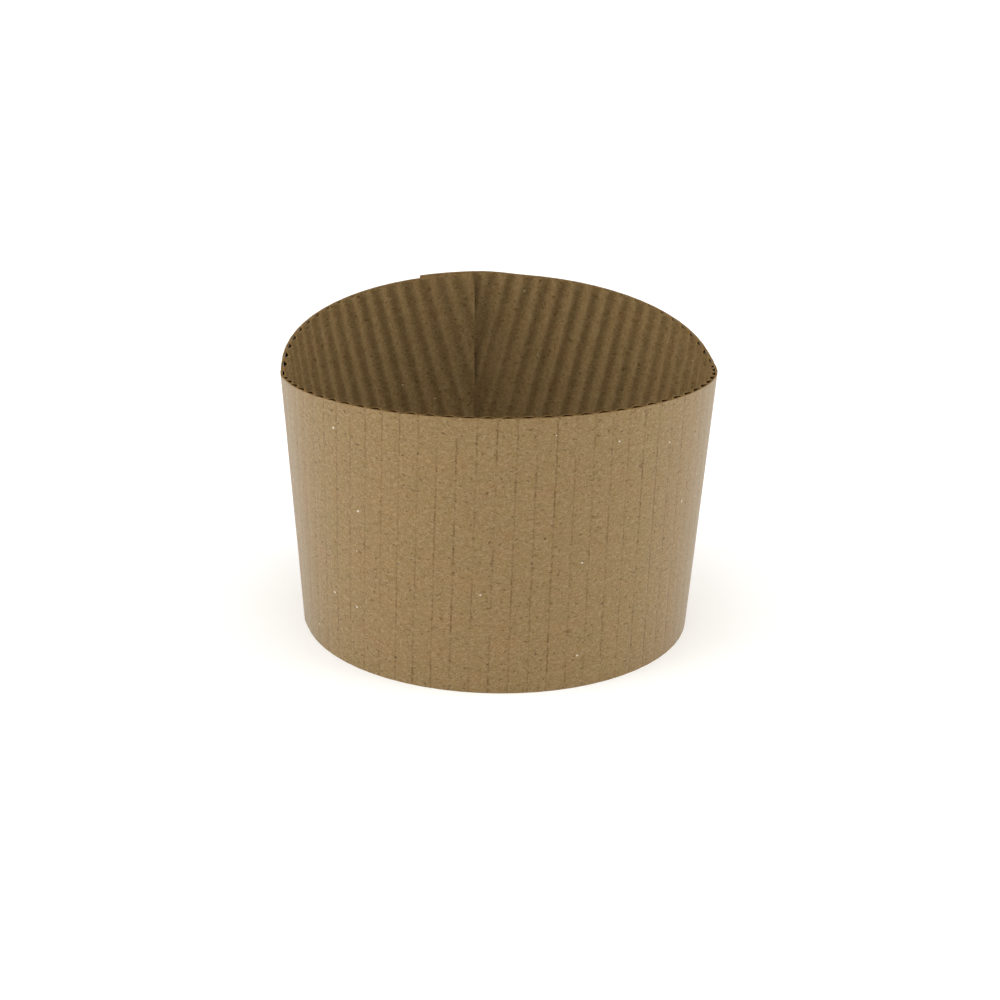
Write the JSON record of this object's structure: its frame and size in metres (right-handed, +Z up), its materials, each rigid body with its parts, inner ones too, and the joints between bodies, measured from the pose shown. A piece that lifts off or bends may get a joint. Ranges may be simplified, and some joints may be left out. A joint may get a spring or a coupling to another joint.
{
  "type": "coffee cup sleeve",
  "caption": "Tapered sleeve of single-face corrugated kraft board for a takeaway cup, with bowed upper edges, two fold creases and a glued lap.",
  "frame": {"origin": "middle of the sleeve's bounding box, on the level of the lower edge that it stands on", "axes": "+Z up the cone's axis towards the wide end, -Y out of the middle of the front panel, +X to the right as seen from the front"},
  "size_m": [0.0716, 0.0734, 0.0484],
  "materials": {
    "kraft_board": "uncoated recycled kraft, matt and slightly fibrous"
  },
  "bodies": {
    "root": {"sleeve": "kraft_board"}
  },
  "joints": []
}
